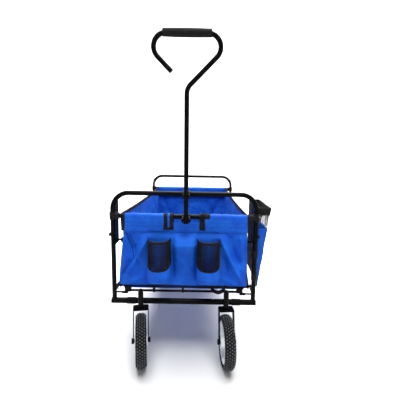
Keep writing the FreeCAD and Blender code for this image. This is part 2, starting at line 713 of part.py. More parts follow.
def build_rear_frame():
    base = cross_rod(HOOP_HALF_WIDTH, 0, BASE_Z, TUBE_R)
    axle_tube = cross_rod(AXLE_TUBE_HALF_LENGTH, 0, AXLE_Z, AXLE_TUBE_R)
    legs = hoop(AXLE_Z).cut(axle_tube)
    rail = cross_rod(HOOP_HALF_WIDTH, 0, RAIL_Z, TUBE_R).cut(legs)
    pin_tip = INNER_BAR_X - PIN_PLAY
    axle = cross_rod(AXLE_HALF_LENGTH, 0, AXLE_Z, AXLE_R)
    save("rear_hoop", at_rear(legs))
    save("rear_base_bar", at_rear(base.cut(legs)))
    save("rear_axle_tube", at_rear(axle_tube.cut(axle)))
    save("rear_axle", at_rear(axle))
    save("rear_rail", at_rear(rail))
    save("rear_slot_plates", at_rear(both_sides(slot_plate().cut([legs, rail, rail_clamp(legs)]))))
    save("rear_pivot_lugs", at_rear(both_sides(lug_plate(pin_tip).cut(legs))))
    save("rear_leg_bolts", at_rear(both_sides(leg_bolts().cut(legs))))
    save("rear_rail_clamps", at_rear(both_sides(rail_clamp(legs))))
    nut_start = Vector(REAR_WHEEL_X + HUB_WIDTH / 2 + REAR_NUT_GAP, 0, AXLE_Z)
    nut = rod(nut_start, nut_start + X_AXIS * REAR_NUT, REAR_NUT_R).cut(axle)
    save("rear_axle_nuts", at_rear(both_sides(nut)))


def build_handle():
    pole = handle_pole()
    save_at_handle("handle_pole", pole)
    save_at_handle("handle_grip", handle_grip(pole))
    save_at_handle("handle_end_plug", handle_end_plug())


def build_casters():
    wheel_centre = Vector(0, -CASTER_TRAIL, AXLE_Z)
    casters = (("left", -1, LEFT_CASTER_TURN_DEG), ("right", 1, RIGHT_CASTER_TURN_DEG))
    for name, side, turn in casters:
        tyre_shape = tyre()
        tyre_shape.translate(wheel_centre)
        rim_shape = rim(WHEEL_BORE_R + CLEAR)
        rim_shape.translate(wheel_centre)
        save(f"caster_fork_{name}", place_caster(fork(), side, turn))
        save(f"caster_kingpin_{name}", place_caster(kingpin(), side, turn))
        save(f"caster_axle_{name}", place_caster(caster_axle(), side, turn))
        save(f"front_tyre_{name}", place_caster(tyre_shape, side, turn))
        save(f"front_rim_{name}", place_caster(rim_shape, side, turn))


def build_rear_wheels():
    for name, side in (("left", -1), ("right", 1)):
        centre = Vector(side * REAR_WHEEL_X, CART_LENGTH, AXLE_Z)
        tyre_shape = tyre()
        tyre_shape.translate(centre)
        rim_shape = rim(AXLE_R + CLEAR)
        rim_shape.translate(centre)
        save(f"rear_tyre_{name}", tyre_shape)
        save(f"rear_rim_{name}", rim_shape)


def build_fabric():
    save("front_wall", front_wall())
    save("rear_wall", at_rear(end_wall()))
    save_pair("side_wall", side_wall())
    save("floor_fabric", floor_fabric())
    save("floor_board", floor_board())
    save_pair("cup_holder", cup_holder())
    save("webbing_loops", webbing_loops())
    save("side_pocket", side_pocket())
    save("pocket_straps", pocket_straps())


os.makedirs("parts", exist_ok=True)
build_front_frame()
build_rear_frame()
build_handle()
build_casters()
build_rear_wheels()
scissor()
build_fabric()
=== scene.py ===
import json
import math
from collections import namedtuple

import bpy
from mathutils import Matrix, Vector, noise


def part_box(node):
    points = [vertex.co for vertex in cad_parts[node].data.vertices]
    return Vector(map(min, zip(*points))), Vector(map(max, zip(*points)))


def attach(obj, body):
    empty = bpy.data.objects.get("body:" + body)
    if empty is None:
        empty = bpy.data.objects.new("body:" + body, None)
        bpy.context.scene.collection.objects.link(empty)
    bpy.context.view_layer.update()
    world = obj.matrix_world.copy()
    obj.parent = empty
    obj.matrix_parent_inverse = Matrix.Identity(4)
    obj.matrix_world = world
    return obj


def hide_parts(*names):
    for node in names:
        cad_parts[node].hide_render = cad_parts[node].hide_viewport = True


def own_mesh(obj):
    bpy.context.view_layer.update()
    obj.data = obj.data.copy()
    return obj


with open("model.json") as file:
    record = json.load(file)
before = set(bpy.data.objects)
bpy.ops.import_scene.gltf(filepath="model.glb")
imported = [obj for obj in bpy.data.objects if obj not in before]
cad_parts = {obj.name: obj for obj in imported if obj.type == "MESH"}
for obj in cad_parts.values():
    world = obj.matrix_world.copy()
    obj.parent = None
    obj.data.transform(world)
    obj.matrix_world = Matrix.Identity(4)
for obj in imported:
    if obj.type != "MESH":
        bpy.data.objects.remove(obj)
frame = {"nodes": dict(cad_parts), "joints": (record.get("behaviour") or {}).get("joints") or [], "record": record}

MM = 0.001
ACROSS, UP = Vector((1, 0, 0)), Vector((0, 0, 1))
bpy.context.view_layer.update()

# ---- places taken from the frame -----------------------------------------------
HOOP_LOW, HOOP_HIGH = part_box("front_hoop")
REAR_LOW, REAR_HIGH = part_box("rear_hoop")
RAIL_LOW, RAIL_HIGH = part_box("front_rail")
WALL_LOW, WALL_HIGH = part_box("front_wall")
SIDE_LOW, SIDE_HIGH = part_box("side_wall_right")
FLOOR_LOW, FLOOR_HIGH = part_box("floor_fabric")
BOARD_LOW, BOARD_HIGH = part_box("floor_board")
POCKET_LOW, POCKET_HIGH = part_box("side_pocket")
TIE_LOW, TIE_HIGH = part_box("front_tie_bar")
FRONT_Y = (HOOP_LOW.y + HOOP_HIGH.y) / 2
REAR_Y = (REAR_LOW.y + REAR_HIGH.y) / 2
RAIL_Z = (RAIL_LOW.z + RAIL_HIGH.z) / 2
TIE_BAR_Z = WALL_LOW.z - 15 * MM
RAIL_R = (RAIL_HIGH.z - RAIL_LOW.z) / 2
LEG_X = HOOP_HIGH.x - RAIL_R

# ---- fabric sizes --------------------------------------------------------------
# Thicknesses of wall cloth, tape folded over an edge, and strap.
CLOTH = 1.4 * MM
BINDING = 3.2 * MM
WEBBING = 1.5 * MM
# The hem is a sleeve round the rail, sewn at HEM_Z, where it stands HEM_STEP off the wall.
SLEEVE_R = 9.6 * MM
HEM_Z = RAIL_Z - 50 * MM
HEM_STEP = 2.6 * MM
# Opening in the front hem for the handle's bolt.
CUTOUT_LEFT, CUTOUT_RIGHT = -48 * MM, 60 * MM
CUTOUT_Z = RAIL_Z - 15 * MM
# Its lower edge: drop of the corners below CUTOUT_Z, and rise of the arch between them.
CUTOUT_CORNER, CUTOUT_ARCH = 6 * MM, 5.4 * MM
# How far the front wall's edges stand in from the legs at the rail, and out again at the floor.
LEFT_INSET, LEFT_FLARE, RIGHT_INSET = 17 * MM, 7 * MM, 4 * MM
# Shares of an end wall's profile, measured down from the hidden edge of its hem: where the
# hem reaches the rail, where it has passed over the rail, and where its sewn edge is.
AT_RAIL, OVER_RAIL, AT_HEM = 0.12, 0.30, 0.42
# Shares at which its rows of stitches lie: two along the hem and one along the bottom tape.
UPPER_SEAM, LOWER_SEAM, TAPE_SEAM = 0.405, 0.418, 0.985
# Distance of the hem's hidden edge and of the hanging wall from the rail's middle, in sleeve radii.
HEM_BACK, WALL_BACK = 0.6, 0.38


# ---- materials -----------------------------------------------------------------
def new_material(name, color, roughness, metallic=0.0):
    material = bpy.data.materials.new(name)
    material.use_nodes = True
    shader = material.node_tree.nodes["Principled BSDF"]
    shader.inputs["Base Color"].default_value = (*color, 1)
    shader.inputs["Roughness"].default_value = roughness
    shader.inputs["Metallic"].default_value = metallic
    return material, shader


def add(material, kind, **settings):
    node = material.node_tree.nodes.new(kind)
    for key, value in settings.items():
        if key in node.inputs:
            node.inputs[key].default_value = value
        else:
            setattr(node, key, value)
    return node


def wire(material, source, output, target, socket):
    material.node_tree.links.new(source.outputs[output], target.inputs[socket])


def object_coordinates(material):
    return add(material, "ShaderNodeTexCoord")


def noise_of(material, coordinates, scale, detail=4.0, roughness=0.55):
    node = add(material, "ShaderNodeTexNoise", Scale=scale, Detail=detail, Roughness=roughness)
    wire(material, coordinates, "Object", node, "Vector")
    return node


def ramp_of(material, source, output, stops):
    """Colour ramp through stops of (position, (r, g, b))."""
    node = add(material, "ShaderNodeValToRGB")
    elements = node.color_ramp.elements
    while len(elements) < len(stops):
        elements.new(0.5)
    for element, (position, color) in zip(elements, stops):
        element.position = position
        element.color = (*color, 1)
    wire(material, source, output, node, "Fac")
    return node


def grey(value):
    return (value, value, value)


def bump(material, shader, source, output, strength, distance, below=None):
    node = add(material, "ShaderNodeBump", Strength=strength, Distance=distance)
    wire(material, source, output, node, "Height")
    if below is not None:
        wire(material, below, "Normal", node, "Normal")
    wire(material, node, "Normal", shader, "Normal")
    return node


def mottled(material, shader, coordinates, scale, low, high, rough_low, rough_high):
    """Colour and roughness that drift slowly between two values."""
    spots = noise_of(material, coordinates, scale)
    color = ramp_of(material, spots, "Fac", [(0.3, low), (0.7, high)])
    wire(material, color, "Color", shader, "Base Color")
    rough = ramp_of(material, spots, "Fac", [(0.3, grey(rough_low)), (0.7, grey(rough_high))])
    wire(material, rough, "Color", shader, "Roughness")
    return spots


def powder_coat():
    material, shader = new_material("powder_coat", grey(0.004), 0.35)
    where = object_coordinates(material)
    shader.inputs["Specular IOR Level"].default_value = 0.05
    mottled(material, shader, where, 35, grey(0.0010), grey(0.003), 0.26, 0.42)
    peel = noise_of(material, where, 900, 2)
    bump(material, shader, peel, "Fac", 0.12, 0.3 * MM)
    return material


def zinc():
    material, shader = new_material("zinc", grey(0.4), 0.35, 0.9)
    where = object_coordinates(material)
    mottled(material, shader, where, 160, (0.30, 0.30, 0.31), (0.50, 0.50, 0.52), 0.25, 0.5)
    grain = noise_of(material, where, 1500, 2)
    bump(material, shader, grain, "Fac", 0.15, 0.2 * MM)
    return material


def moulded_black():
    material, shader = new_material("moulded_black", grey(0.006), 0.5)
    shader.inputs["Specular IOR Level"].default_value = 0.12
    where = object_coordinates(material)
    mottled(material, shader, where, 60, grey(0.002), grey(0.006), 0.42, 0.62)
    grain = noise_of(material, where, 1200, 3)
    bump(material, shader, grain, "Fac", 0.3, 0.25 * MM)
    return material


def foam():
    material, shader = new_material("foam", grey(0.01), 0.85)
    shader.inputs["Specular IOR Level"].default_value = 0.15
    where = object_coordinates(material)
    mottled(material, shader, where, 80, grey(0.004), grey(0.010), 0.78, 0.92)
    cells = add(material, "ShaderNodeTexVoronoi", Scale=900.0)
    wire(material, where, "Object", cells, "Vector")
    bump(material, shader, cells, "Distance", 0.5, 0.5 * MM)
    return material


def tyre_rubber(name, low, high):
    material, shader = new_material(name, high, 0.85)
    shader.inputs["Specular IOR Level"].default_value = 0.08
    where = object_coordinates(material)
    mottled(material, shader, where, 45, low, high, 0.72, 0.92)
    grain = noise_of(material, where, 1100, 4)
    bump(material, shader, grain, "Fac", 0.4, 0.3 * MM)
    return material


def pale_plastic():
    material, shader = new_material("pale_plastic", (0.72, 0.75, 0.78), 0.35)
    where = object_coordinates(material)
    mottled(material, shader, where, 22, (0.62, 0.65, 0.69), (0.80, 0.82, 0.84), 0.28, 0.45)
    grain = noise_of(material, where, 700, 3)
    bump(material, shader, grain, "Fac", 0.12, 0.25 * MM)
    return material


def weave_height(material, where, threads_per_metre):
    """Plain weave: crossed threads along the three axes, added."""
    # At a scale of 1 the wave texture has 20 / (2 pi) bands in a metre.
    scale = 2 * math.pi * threads_per_metre / 20
    total = None
    for axis in "XYZ":
        wave = add(material, "ShaderNodeTexWave", wave_type="BANDS", bands_direction=axis,
                   wave_profile="SIN", Scale=scale, Distortion=0.6, Detail=1.0)
        wave.inputs["Detail Scale"].default_value = 2.0
        wire(material, where, "Object", wave, "Vector")
        if total is None:
            total, output = wave, "Fac"
        else:
            both = add(material, "ShaderNodeMath", operation="ADD")
            material.node_tree.links.new(total.outputs[output], both.inputs[0])
            material.node_tree.links.new(wave.outputs["Fac"], both.inputs[1])
            total, output = both, "Value"
    return total


def woven(name, dark, light, threads_per_metre=650, roughness=0.6, sheen=0.0):
    """Woven fabric: drifting colour, darker gaps between threads, and a thread bump."""
    material, shader = new_material(name, light, roughness)
    shader.inputs["Sheen Weight"].default_value = sheen
    shader.inputs["Sheen Roughness"].default_value = 0.4
    shader.inputs["Specular IOR Level"].default_value = 0.10
    where = object_coordinates(material)
    spots = noise_of(material, where, 14, 5)
    tone = ramp_of(material, spots, "Fac", [(0.32, dark), (0.68, light)])
    threads = weave_height(material, where, threads_per_metre)
    scaled = add(material, "ShaderNodeMapRange")
    scaled.inputs["From Min"].default_value = 0.6
    scaled.inputs["From Max"].default_value = 2.4
    scaled.inputs["To Min"].default_value = 0.80
    scaled.inputs["To Max"].default_value = 1.12
    wire(material, threads, "Value", scaled, "Value")
    shade = add(material, "ShaderNodeVectorMath", operation="SCALE")
    material.node_tree.links.new(tone.outputs["Color"], shade.inputs[0])
    wire(material, scaled, "Result", shade, "Scale")
    wire(material, shade, "Vector", shader, "Base Color")
    rub = noise_of(material, where, 60, 3)
    rough = ramp_of(material, rub, "Fac", [(0.3, grey(roughness - 0.08)), (0.7, grey(roughness + 0.12))])
    wire(material, rough, "Color", shader, "Roughness")
    bump(material, shader, threads, "Value", 0.5, 0.18 * MM)
    return material


COAT = powder_coat()
ZINC = zinc()
MOULDED = moulded_black()
FOAM = foam()
RUBBER = tyre_rubber("tyre_carcass", grey(0.002), grey(0.005))
# The tread blocks are a far lighter grey than the carcass: painted highlight on the knobs.
TREAD_WITH_PAINTED_HIGHLIGHT = tyre_rubber("tyre_tread_painted_highlight", (0.052, 0.056, 0.060), (0.100, 0.106, 0.112))
PALE = pale_plastic()
BLUE = woven("blue_oxford", (0.004, 0.053, 0.43), (0.009, 0.110, 0.56))
BLACK_CLOTH = woven("black_oxford", grey(0.003), grey(0.009))
STRAPPING = woven("strapping", grey(0.003), grey(0.010), threads_per_metre=500, roughness=0.7)
THREAD = woven("thread", (0.010, 0.06, 0.45), (0.02, 0.11, 0.62), threads_per_metre=2500)
NET = woven("net", grey(0.005), grey(0.014), threads_per_metre=2200, roughness=0.75)


# ---- mesh helpers --------------------------------------------------------------
def mesh_object(name, points, faces, material, smooth=True):
    mesh = bpy.data.meshes.new(name)
    mesh.from_pydata([tuple(p) for p in points], [], faces)
    mesh.validate()
    mesh.materials.append(material)
    if smooth:
        mesh.shade_smooth()
    piece = bpy.data.objects.new(name, mesh)
    bpy.context.scene.collection.objects.link(piece)
    return piece


def apply_modifiers(piece):
    bpy.context.view_layer.update()
    depsgraph = bpy.context.evaluated_depsgraph_get()
    mesh = bpy.data.meshes.new_from_object(piece.evaluated_get(depsgraph))
    piece.modifiers.clear()
    piece.data = mesh
    return piece


def thicken(piece, thickness, offset=0.0):
    solid = piece.modifiers.new("thickness", "SOLIDIFY")
    solid.thickness = thickness
    solid.offset = offset
    return apply_modifiers(piece)


def strands(piece, thickness):
    """Turn a surface into the net of its edges."""
    lattice = piece.modifiers.new("strands", "WIREFRAME")
    lattice.thickness = thickness
    lattice.use_even_offset = False
    return apply_modifiers(piece)


def grid_faces(columns, rows, keep=None):
    """Quads of a grid whose point (i, j) has index i * rows + j."""
    faces = []
    for i in range(columns - 1):
        for j in range(rows - 1):
            if keep is None or keep(i, j):
                a = i * rows + j
                faces.append((a, a + rows, a + rows + 1, a + 1))
    return faces


def cloth_grid(name, place, u_steps, v_steps, material, thickness=CLOTH, keep=None):
    """Sheet of cloth from place(u, v), u and v in 0..1."""
    points = [place(i / u_steps, j / v_steps) for i in range(u_steps + 1) for j in range(v_steps + 1)]
    piece = mesh_object(name, points, grid_faces(u_steps + 1, v_steps + 1, keep), material)
    return thicken(piece, thickness)


def lathe(name, outline, centre, axis_turn, segments, material):
    """Solid turned about X from (x, radius) points, then turned by axis_turn and moved to centre."""
    points, faces = [], []
    count = len(outline)
    for step in range(segments):
        angle = 2 * math.pi * step / segments
        for x, radius in outline:
            points.append(Vector((x, radius * math.cos(angle), radius * math.sin(angle))))
    for step in range(segments):
        following = (step + 1) % segments
        for k in range(count - 1):
            faces.append((step * count + k, following * count + k,
                          following * count + k + 1, step * count + k + 1))
    turned = [axis_turn @ p + centre for p in points]
    return mesh_object(name, turned, faces, material)


def ribbon(name, line, across, width, thickness, material):
    """Flat band along line, whose width runs in the direction across."""
    points, faces = [], []
    side = across.normalized()
    for k, point in enumerate(line):
        before = line[max(k - 1, 0)]
        after = line[min(k + 1, len(line) - 1)]
        along = (after - before).normalized()
        up = along.cross(side).normalized()
        for s, t in ((-1, -1), (-0.8, 1), (0.8, 1), (1, -1)):
            points.append(point + side * (s * width / 2) + up * (t * thickness / 2))
    for k in range(len(line) - 1):
        for c in range(4):
            d = (c + 1) % 4
            faces.append((4 * k + c, 4 * k + d, 4 * k + 4 + d, 4 * k + 4 + c))
    last = 4 * (len(line) - 1)
    faces.append((3, 2, 1, 0))
    faces.append((last, last + 1, last + 2, last + 3))
    return mesh_object(name, points, faces, material, smooth=False)


def round_piping(name, line, radius, material, sides=8):
    """Closed round tube along line."""
    points, faces = [], []
    for k, point in enumerate(line):
        along = (line[min(k + 1, len(line) - 1)] - line[max(k - 1, 0)]).normalized()
        side = along.orthogonal().normalized()
        turn = along.cross(side)
        for s in range(sides):
            angle = 2 * math.pi * s / sides
            points.append(point + side * (radius * math.cos(angle)) + turn * (radius * math.sin(angle)))
    for k in range(len(line) - 1):
        for s in range(sides):
            t = (s + 1) % sides
            faces.append((sides * k + s, sides * k + t, sides * (k + 1) + t, sides * (k + 1) + s))
    faces.append(tuple(reversed(range(sides))))
    faces.append(tuple(sides * (len(line) - 1) + s for s in range(sides)))
    return mesh_object(name, points, faces, material)


def stitches(name, line, normal, material, length=3.4 * MM, gap=1.8 * MM, radius=0.45 * MM):
    """Row of short thread stitches lying on line."""
    points, faces = [], []
    walked, spent = 0.0, 0.0
    for start, end in zip(line, line[1:]):
        run = (end - start).length
        along = (end - start).normalized()
        side = along.cross(normal).normalized()
        while spent + length < walked + run:
            a = start + along * (spent - walked)
            b = a + along * length
            base = len(points)
            middle = (a + b) / 2 + normal * radius
            for p in (a, middle, b):
                for sx, sn in ((-1, 0.1), (0, 1), (1, 0.1)):
                    points.append(p + side * (sx * radius) + normal * (sn * radius))
            for r in (0, 3):
                for c in (0, 1):
                    faces.append((base + r + c, base + r + c + 1, base + r + c + 4, base + r + c + 3))
            spent += length + gap
        walked += run
        spent = max(spent, walked)
    return mesh_object(name, points, faces, material)


def finish_piece(piece, body, slot, *nodes):
    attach(piece, body)
    if nodes:
        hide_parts(*nodes)
    return piece


def fold_with_cart(piece, slot, *nodes):
    """Soft piece between the hoops: it rides on the front frame and gets a mesh of its own."""
    finish_piece(piece, "front_frame", slot, *nodes)
    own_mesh(piece)
    return piece


def smoothstep(low, high, value):
    t = min(max((value - low) / (high - low), 0.0), 1.0)
    return t * t * (3 - 2 * t)


def ripple(point, scale, height, seed):
    """Small smooth unevenness of cloth, the same on each run."""
    return height * noise.fractal(point * scale + Vector((seed, seed * 2, seed * 3)), 0.9, 2.0, 3)


# Height of a crease at its two ends, as a share of the full height, and how soon it is full.
CREASE_ENDS = 0.45
CREASE_RISE = 1.9


def crease(point, start, end, width, height, softness=1.5 * MM):
    """Crisp fold from start to end (2-D): a rounded crest with slopes that die away on both sides."""
    line = end - start
    share = (point - start).dot(line) / line.length_squared
    along = min(max(share, 0.0), 1.0)
    distance = (point - (start + line * along)).length
    fade = CREASE_ENDS + (1 - CREASE_ENDS) * min(1.0, CREASE_RISE * math.sin(math.pi * along))
    return height * fade * math.exp(-(math.hypot(distance, softness) - softness) / width)


# ---- front and rear walls ------------------------------------------------------
# Creases as (start x, start z, end x, end z, width, height) in mm: x across the cart, z above
# the wall's bottom edge, and a negative height for a valley. The front cloth is pulled forward
# between the cup holders and pinched at its two corners.
FRONT_CREASES = (
    (-38, 152, 46, 153, 46, 36.0),
    (-20, 186, -36, 150, 7, 5.0),
    (30, 186, 46, 150, 7, 5.0),
    (-202, 246, -171, 103, 8, -14.0),
    (-171, 103, -215, 39, 8, -14.0),
    (-208, 190, -198, 80, 14, 16.0),
    (-122, 176, -206, 22, 17, 26.0),
    (-176, 150, -150, 70, 10, -12.0),
    (-150, 200, -172, 120, 9, -9.0),
    (-104, 60, -190, 12, 11, 12.0),
    (-42, 150, -38, 30, 12, -12.0),
    (46, 150, 44, 30, 12, -12.0),
    (-26, 112, 34, 52, 10, 8.0),
    (122, 176, 200, 18, 14, 24.0),
    (150, 200, 190, 70, 9, -11.0),
    (190, 196, 206, 30, 9, 12.0),
    (104, 50, 182, 14, 11, 12.0),
    (128, 196, 152, 158, 6, 7.0),
    (168, 92, 206, 60, 8, 8.0),
    (132, 120, 150, 60, 9, -9.0),
)
REAR_CREASES = (
    (-200, 230, -120, 30, 16, 6.0),
    (200, 225, 110, 40, 16, 6.0),
    (-90, 150, 90, 165, 24, 5.0),
    (-40, 120, 10, 20, 14, -4.0),
)
# How far the lower edge of an end wall hangs through in the middle.
WALL_SAG = 2.5 * MM
# facing is the wall's outward direction along Y; slack is the extra width and height of the
# cut that the folds take up; only the front wall has the opening for the handle's bolt.
EndWall = namedtuple("EndWall", "name body plane_y facing folds seed slack opening")
FRONT_WALL = EndWall("front", "front_frame", FRONT_Y, -1, FRONT_CREASES, 1.0, (24 * MM, 17 * MM), True)
REAR_WALL = EndWall("rear", "rear_frame", REAR_Y, 1, REAR_CREASES, 9.0, (6 * MM, 4 * MM), False)


def wall_relief(x, z, wall):
    """How far the hanging cloth stands out of its plane."""
    bottom = WALL_LOW.z
    point = Vector((x, z - bottom))
    out = 0.0
    for x0, z0, x1, z1, width, height in wall.folds:
        out += crease(point, Vector((x0, z0)) * MM, Vector((x1, z1)) * MM, width * MM, height * MM)
    out += ripple(Vector((x, 0, z)), 16, 2.2 * MM, wall.seed)
    out += ripple(Vector((x, 0, z)), 60, 0.35 * MM, wall.seed + 5)
    hang = smoothstep(HEM_Z, HEM_Z - 25 * MM, z) * smoothstep(bottom, bottom + 15 * MM, z)
    edge = WALL_HIGH.x + LEFT_FLARE - abs(x)
    return out * hang * smoothstep(0, 14 * MM, edge)


def wall_profile(share):
    """Point (outward distance, height) of the hem sleeve and wall; share 0 is the hem's back edge."""
    if share < AT_RAIL:
        t = share / AT_RAIL
        return -SLEEVE_R * (HEM_BACK + (1 - HEM_BACK) * t), HEM_Z + (RAIL_Z - HEM_Z) * t
    if share < OVER_RAIL:
        angle = math.pi * (1 - (share - AT_RAIL) / (OVER_RAIL - AT_RAIL))
        return SLEEVE_R * math.cos(angle), RAIL_Z + SLEEVE_R * math.sin(angle)
    if share < AT_HEM:
        t = (share - OVER_RAIL) / (AT_HEM - OVER_RAIL)
        out = SLEEVE_R * (1 - (1 - WALL_BACK) * smoothstep(0, 1, t)) + HEM_STEP * t
        return out, RAIL_Z + (HEM_Z - RAIL_Z) * t
    t = (share - AT_HEM) / (1 - AT_HEM)
    return SLEEVE_R * WALL_BACK, HEM_Z + (WALL_LOW.z - HEM_Z) * t


def wall_point(x, share, wall):
    """Point of an end wall: creased and sagging below the hem, only faintly uneven above it."""
    out, z = wall_profile(share)
    if share > AT_HEM:
        out += wall_relief(x, z, wall) - 1.2 * MM
        middle = math.cos(math.pi * x / (2 * WALL_HIGH.x))
        z -= WALL_SAG * middle * smoothstep(HEM_Z, WALL_LOW.z, z)
    else:
        z += ripple(Vector((x, 3, z)), 22, 1.2 * MM, wall.seed)
        out += ripple(Vector((x, 7, z)), 40, 0.8 * MM, wall.seed)
    return Vector((x, wall.plane_y + wall.facing * out, z))


def wall_sides(share, wall):
    """Left and right edges of an end wall; the front one leans outwards below the rail."""
    if wall is REAR_WALL:
        return WALL_LOW.x, WALL_HIGH.x
    drop = smoothstep(OVER_RAIL, 1.0, share)
    left = WALL_LOW.x + LEFT_INSET * (1 - drop) - LEFT_FLARE * drop
    right = WALL_HIGH.x - RIGHT_INSET * (1 - drop)
    return left, right


def in_opening(x, share):
    """True inside the opening for the handle's bolt, which has a low arch for its lower edge."""
    if not CUTOUT_LEFT < x < CUTOUT_RIGHT:
        return False
    along = (x - CUTOUT_LEFT) / (CUTOUT_RIGHT - CUTOUT_LEFT)
    lower_edge = CUTOUT_Z - CUTOUT_CORNER + CUTOUT_ARCH * math.sin(math.pi * along)
    return share < OVER_RAIL or wall_profile(share)[1] > lower_edge


def hanging_wall(wall):
    columns, rows = 160, 110

    def place(u, v):
        left, right = wall_sides(v, wall)
        return wall_point(left + (right - left) * u, v, wall)

    def keep(i, j):
        left, right = wall_sides(OVER_RAIL, wall)
        x = left + (right - left) * (i + 0.5) / columns
        return not (wall.opening and in_opening(x, (j + 0.5) / rows))

    return cloth_grid(wall.name + "_wall_cloth", place, columns, rows, BLUE, CLOTH, keep)


def wall_line(share, wall, margin=0.0, lift=0.0, count=120):
    """Line across the wall at one height, from margin inside one edge to margin inside the other."""
    left, right = wall_sides(share, wall)
    start, end = left + margin, right - margin
    line = []
    for k in range(count + 1):
        point = wall_point(start + (end - start) * k / count, share, wall)
        line.append(point + Vector((0, wall.facing * lift, 0)))
    return line


def bottom_binding(wall):
    """Black tape folded over the wall's lower edge."""
    line = [p + Vector((0, 0, 2.5 * MM)) for p in wall_line(1.0, wall)]
    tape = ribbon(wall.name + "_wall_tape", line, UP, 11 * MM, BINDING, BLACK_CLOTH)
    finish_piece(tape, wall.body, "black_webbing")


def wall_stitches(name, wall, share, lift, thread, slot):
    line = wall_line(share, wall, 4 * MM, lift)
    seam = stitches(name, line, Vector((0, wall.facing, 0)), thread)
    finish_piece(seam, wall.body, slot)


def make_end_wall(wall):
    cloth = hanging_wall(wall)
    finish_piece(cloth, wall.body, "blue_fabric", wall.name + "_wall")
    slack_x, slack_z = wall.slack
    bottom_binding(wall)
    wall_stitches(f"{wall.name}_hem_stitches_upper", wall, UPPER_SEAM, 0.8 * MM, THREAD, "blue_fabric")
    wall_stitches(f"{wall.name}_hem_stitches_lower", wall, LOWER_SEAM, 0.8 * MM, THREAD, "blue_fabric")
    wall_stitches(f"{wall.name}_tape_stitches", wall, TAPE_SEAM, 1.7 * MM, STRAPPING, "black_webbing")


make_end_wall(FRONT_WALL)
make_end_wall(REAR_WALL)


# ---- corner seam and hem ends of the front wall --------------------------------
# Ends and corner of the seam in mm: x across the cart, z above the wall's bottom edge.
CORNER_SEAM = ((-198, 190), (-171, 103), (-218, 36))


def corner_seam_with_painted_shade():
    """Seam at the left corner, drawn inwards by the bulging side of the tub. Its dark tape is partly the seam's
    own and partly painted shade for the crease along it.
    """
    line = []
    for start, end in zip(CORNER_SEAM, CORNER_SEAM[1:]):
        for k in range(40):
            place = Vector(start).lerp(Vector(end), k / 40) * MM
            share = 1 - (1 - AT_HEM) * place.y / (HEM_Z - WALL_LOW.z)
            line.append(wall_point(place.x, share, FRONT_WALL) + Vector((0, -0.9 * MM, 0)))
    # Black tape: partly the seam itself, partly painted shade in the crease.
    tape = ribbon("corner_seam_tape", line, Vector((1, 0, 0.2)), 3 * MM, 1.2 * MM, BLACK_CLOTH)
    finish_piece(tape, "front_frame", "black_webbing")


corner_seam_with_painted_shade()


def over_front_rail(x, radius, back_drop):
    """Line that comes up behind the front rail, from back_drop below it, and over its top."""
    line = [Vector((x, FRONT_Y + radius, RAIL_Z - back_drop))]
    for k in range(13):
        angle = math.pi * k / 12
        line.append(Vector((x, FRONT_Y + radius * math.cos(angle), RAIL_Z + radius * math.sin(angle))))
    return line


def hem_end_tape(side, x):
    """Black reinforcement that hangs from the rail at a corner of the front wall."""
    radius = SLEEVE_R + 1.2 * MM
    line = over_front_rail(x, radius, 20 * MM)
    for k in range(1, 13):
        t = k / 12
        z = RAIL_Z + (HEM_Z - RAIL_Z) * t
        line.append(Vector((x, FRONT_Y - radius * (1 - 0.5 * smoothstep(0, 1, t)), z)))
    tape = ribbon(f"hem_end_tape_{side}", line, ACROSS, 13 * MM, 1.6 * MM, BLACK_CLOTH)
    finish_piece(tape, "front_frame", "black_webbing")


hem_end_tape("left", WALL_LOW.x + LEFT_INSET - 7 * MM)
hem_end_tape("right", WALL_HIGH.x - RIGHT_INSET + 4 * MM)


# ---- side walls and floor ------------------------------------------------------
# How far each side wall goes on past its CAD piece to meet the end walls.
SIDE_TURN_IN = 7 * MM
# Where the rim tape and its two rows of stitches lie, as shares of the side wall's height.
SIDE_RIM, SIDE_ROWS = 0.012, (("upper", 0.05), ("lower", 0.075))


def side_place(side, u, v, seed):
    """Side wall point: u from front to rear, v from rim to floor. The rim sags in the middle and
    the cloth bellies in and out between the scissor bars, less outwards than inwards."""
    y = SIDE_LOW.y - SIDE_TURN_IN + (SIDE_HIGH.y - SIDE_LOW.y + 2 * SIDE_TURN_IN) * u
    z = SIDE_HIGH.z + (SIDE_LOW.z + 1 * MM - SIDE_HIGH.z) * v
    sag = 9 * MM * math.sin(math.pi * u) ** 0.8 * (1 - v)
    belly = 6 * MM * math.sin(math.pi * v) * math.sin(math.pi * u)
    out = belly * math.sin(5 * math.pi * u + seed) * 0.6
    out += ripple(Vector((seed, y, z)), 11, 3.0 * MM, seed) * math.sin(math.pi * v)
    out += ripple(Vector((seed, y, z)), 50, 0.4 * MM, seed)
    x = (SIDE_LOW.x + SIDE_HIGH.x) / 2 - 1.5 * MM + min(max(out, -8 * MM), 2.2 * MM)
    return Vector((side * x, y, z - sag))


def make_side_wall(name, side, seed):
    wall = cloth_grid(f"side_cloth_{name}", lambda u, v: side_place(side, u, v, seed), 220, 64, BLUE)
    fold_with_cart(wall, "blue_fabric", f"side_wall_{name}")
    rim = [side_place(side, k / 160, SIDE_RIM, seed) for k in range(161)]
    tape = ribbon(f"side_rim_tape_{name}", rim, UP, 14 * MM, BINDING, BLACK_CLOTH)
    fold_with_cart(tape, "black_webbing")
    lift = Vector((side * 0.9 * MM, 0, 0))
    for row, share in SIDE_ROWS:
        line = [side_place(side, k / 160, share, seed) + lift for k in range(161)]
        seam = stitches(f"side_stitches_{row}_{name}", line, Vector((side, 0, 0)), THREAD)
        fold_with_cart(seam, "blue_fabric")


make_side_wall("left", -1, 3.0)
make_side_wall("right", 1, 4.0)


# How far the floor cloth goes on past its CAD piece, at each end, to meet the end walls.
FLOOR_TURN_UP = 10 * MM


